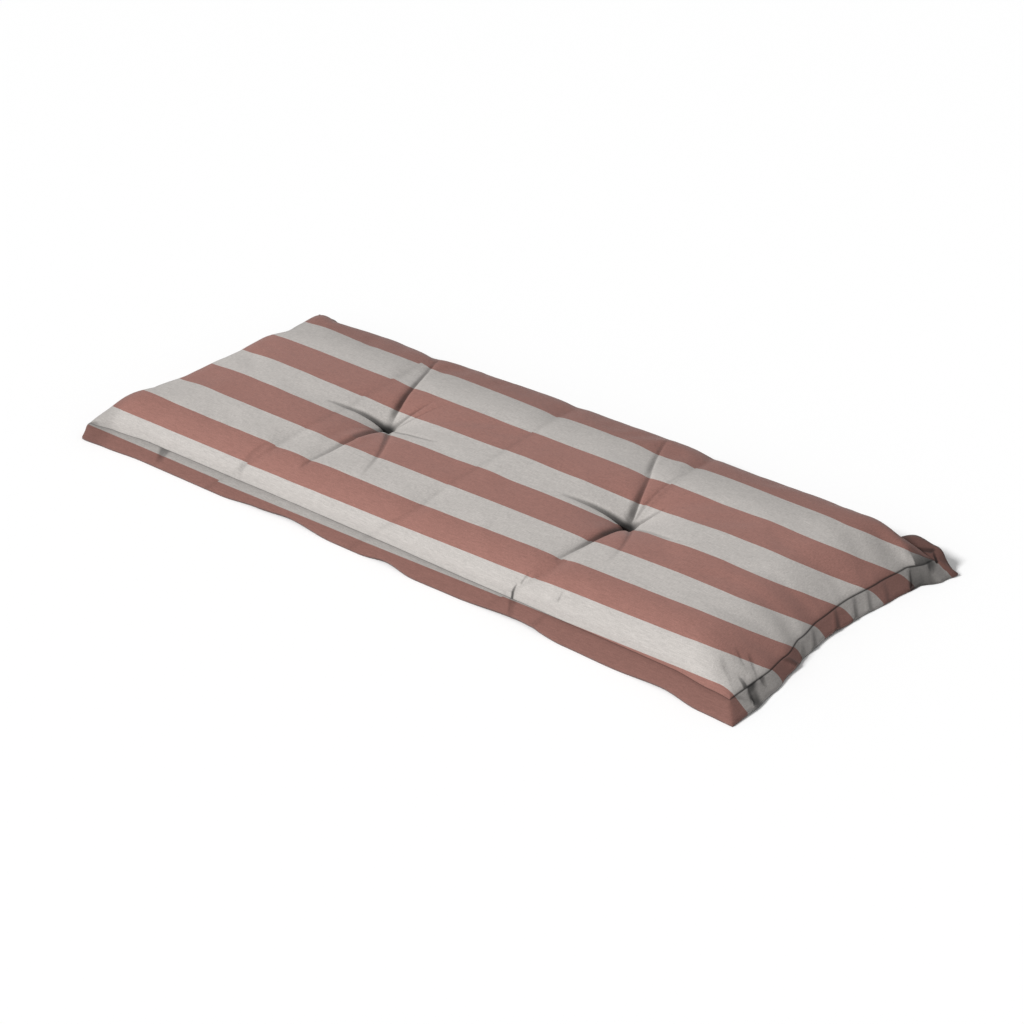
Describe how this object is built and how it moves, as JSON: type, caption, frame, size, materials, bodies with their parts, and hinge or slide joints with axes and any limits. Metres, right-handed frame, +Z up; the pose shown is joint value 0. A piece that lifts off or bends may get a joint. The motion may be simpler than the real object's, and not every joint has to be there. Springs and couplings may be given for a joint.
{
  "type": "bench cushion",
  "caption": "Long filled seat pad in wide-striped canvas, with a flat stitched flange all round, drawn-in sides, a soft crown and tufts with radiating creases.",
  "frame": {"origin": "on the resting surface, under the middle of the cushion's outline", "axes": "+X along the length, +Y from the front edge to the back edge, +Z up through the thickness"},
  "size_m": [1.1974, 0.501, 0.074],
  "materials": {
    "canvas": "matte woven canvas, wide terracotta and warm off-white stripes along the length"
  },
  "bodies": {
    "root": {"cushion": "canvas"}
  },
  "joints": []
}
